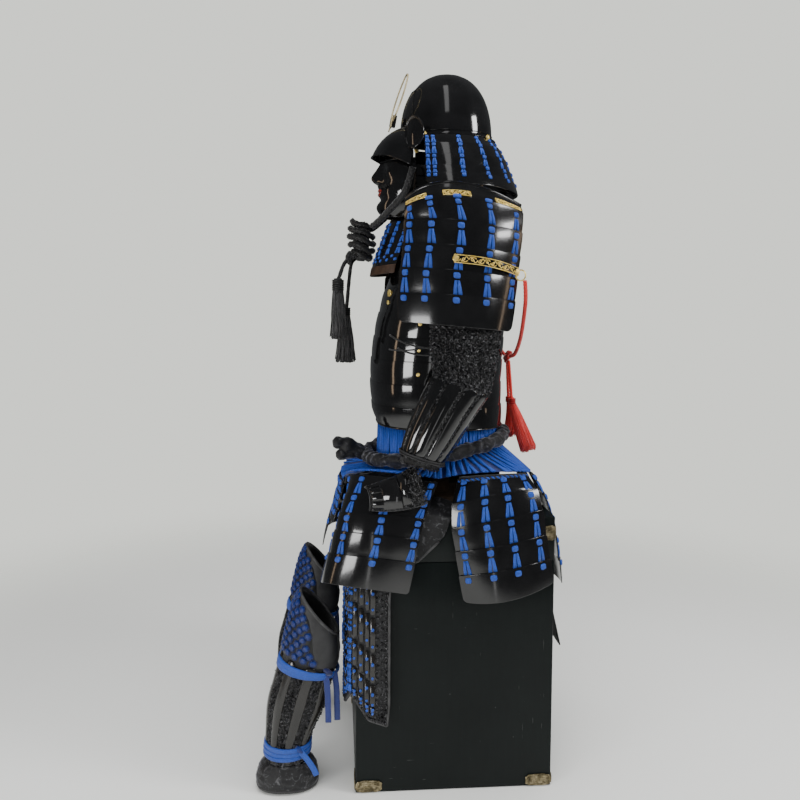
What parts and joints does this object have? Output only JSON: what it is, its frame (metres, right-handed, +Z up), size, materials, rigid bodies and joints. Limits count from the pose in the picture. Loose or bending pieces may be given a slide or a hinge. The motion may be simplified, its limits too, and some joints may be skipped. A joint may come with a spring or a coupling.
{
  "type": "samurai armour on its storage box",
  "caption": "Full laced lamellar armour with helmet, face mask, sleeves, skirt plates, thigh and shin guards and boots, arranged seated on its square storage box.",
  "frame": {"origin": "centre of the footprint, on the surface that the box and boots stand on", "axes": "+Z up; the armour faces -Y; its left side is +X"},
  "size_m": [0.6116, 0.7022, 1.5979],
  "materials": {
    "box_wood": "very dark green-black lacquered wood, semi-gloss, fine scratches",
    "old_brass": "aged, dull, lightly scratched",
    "stand_wood": "plain, dark stained",
    "black_lacquer": "deep black lacquer on iron, mirror gloss",
    "gilt": "polished gilt, openwork",
    "laced_plates": "glossy black lacquered plates laced with bright blue silk",
    "strap_cloth": "black padded cloth",
    "black_cord": "black braided silk cord",
    "red_silk": "bright red twisted silk",
    "mail_cloth": "black iron mail on black cloth",
    "splint_plates": "black lacquered splints joined by mail",
    "blue_silk": "bright blue flat silk braid",
    "black_velvet": "black crushed velvet",
    "thigh_cloth": "black cloth with small laced plates and a mail border",
    "flap_leather": "stiff black leather"
  },
  "bodies": {
    "root": {"box_body": "box_wood", "box_lid": "box_wood", "box_corner_front_left": "old_brass", "box_corner_front_right": "old_brass", "box_corner_back_left": "old_brass", "box_corner_back_right": "old_brass", "stand": "stand_wood", "helmet_bowl": "black_lacquer", "helmet_peak": "black_lacquer", "turnback_left": "black_lacquer", "turnback_right": "black_lacquer", "mask": "black_lacquer", "helmet_crest": "gilt", "sode_bar_left": "gilt", "sode_bar_right": "gilt", "neck_guard": "laced_plates", "throat_guard": "laced_plates", "cuirass_front": "laced_plates", "cuirass_back": "laced_plates", "sode_left": "laced_plates", "sode_right": "laced_plates", "tasset_front": "laced_plates", "tasset_front_left": "laced_plates", "tasset_front_right": "laced_plates", "tasset_side_left": "laced_plates", "tasset_side_right": "laced_plates", "tasset_back_left": "laced_plates", "tasset_back_right": "laced_plates", "shoulder_strap_left": "strap_cloth", "shoulder_strap_right": "strap_cloth", "chin_cord_left": "black_cord", "chin_cord_right": "black_cord", "chin_knot": "black_cord", "chin_tassel_a": "black_cord", "chin_tassel_b": "black_cord", "back_cord_left": "red_silk", "back_cord_right": "red_silk", "back_knot": "red_silk", "back_tassel_left": "red_silk", "back_tassel_right": "red_silk", "sleeve_left": "mail_cloth", "sleeve_right": "mail_cloth", "forearm_left": "splint_plates", "forearm_right": "splint_plates", "hand_guard_left": "splint_plates", "hand_guard_right": "splint_plates", "shin_guard_left": "splint_plates", "shin_guard_right": "splint_plates", "waist_lacing": "blue_silk", "shin_tie_left": "blue_silk", "shin_tie_right": "blue_silk", "ankle_tie_left": "blue_silk", "ankle_tie_right": "blue_silk", "sash": "black_velvet", "boot_left": "black_velvet", "boot_right": "black_velvet", "thigh_guard_left": "thigh_cloth", "thigh_guard_right": "thigh_cloth", "back_flap": "flap_leather"}
  },
  "joints": []
}
